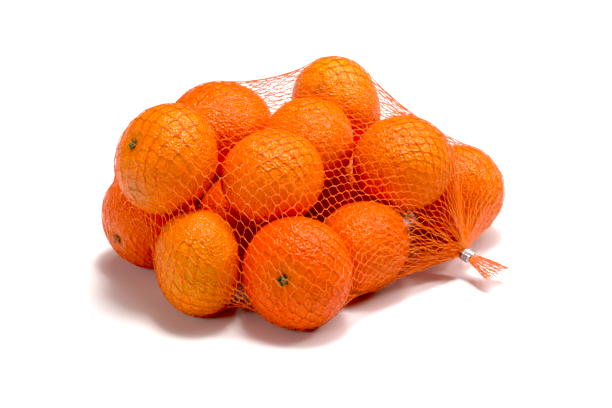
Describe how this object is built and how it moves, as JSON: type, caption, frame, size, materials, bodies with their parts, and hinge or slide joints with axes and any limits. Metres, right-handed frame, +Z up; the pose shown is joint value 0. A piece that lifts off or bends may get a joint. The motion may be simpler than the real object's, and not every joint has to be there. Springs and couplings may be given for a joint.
{
  "type": "net of mandarins",
  "caption": "Knitted tube net pulled tight round a low heap of mandarins, lying on its side, with one gathered end crimped in a clip.",
  "frame": {"origin": "centre of the bounding box at the level the bag lies on", "axes": "+Z up, +X to the right along the front of the bag, +Y away from the front"},
  "size_m": [0.2654, 0.2724, 0.1203],
  "materials": {
    "net": "satin",
    "peel": "satin",
    "stem": "matte",
    "clip": "satin"
  },
  "bodies": {
    "root": {"net_bag": "net", "net_clip": "clip", "net_tail": "net"}
  },
  "joints": []
}
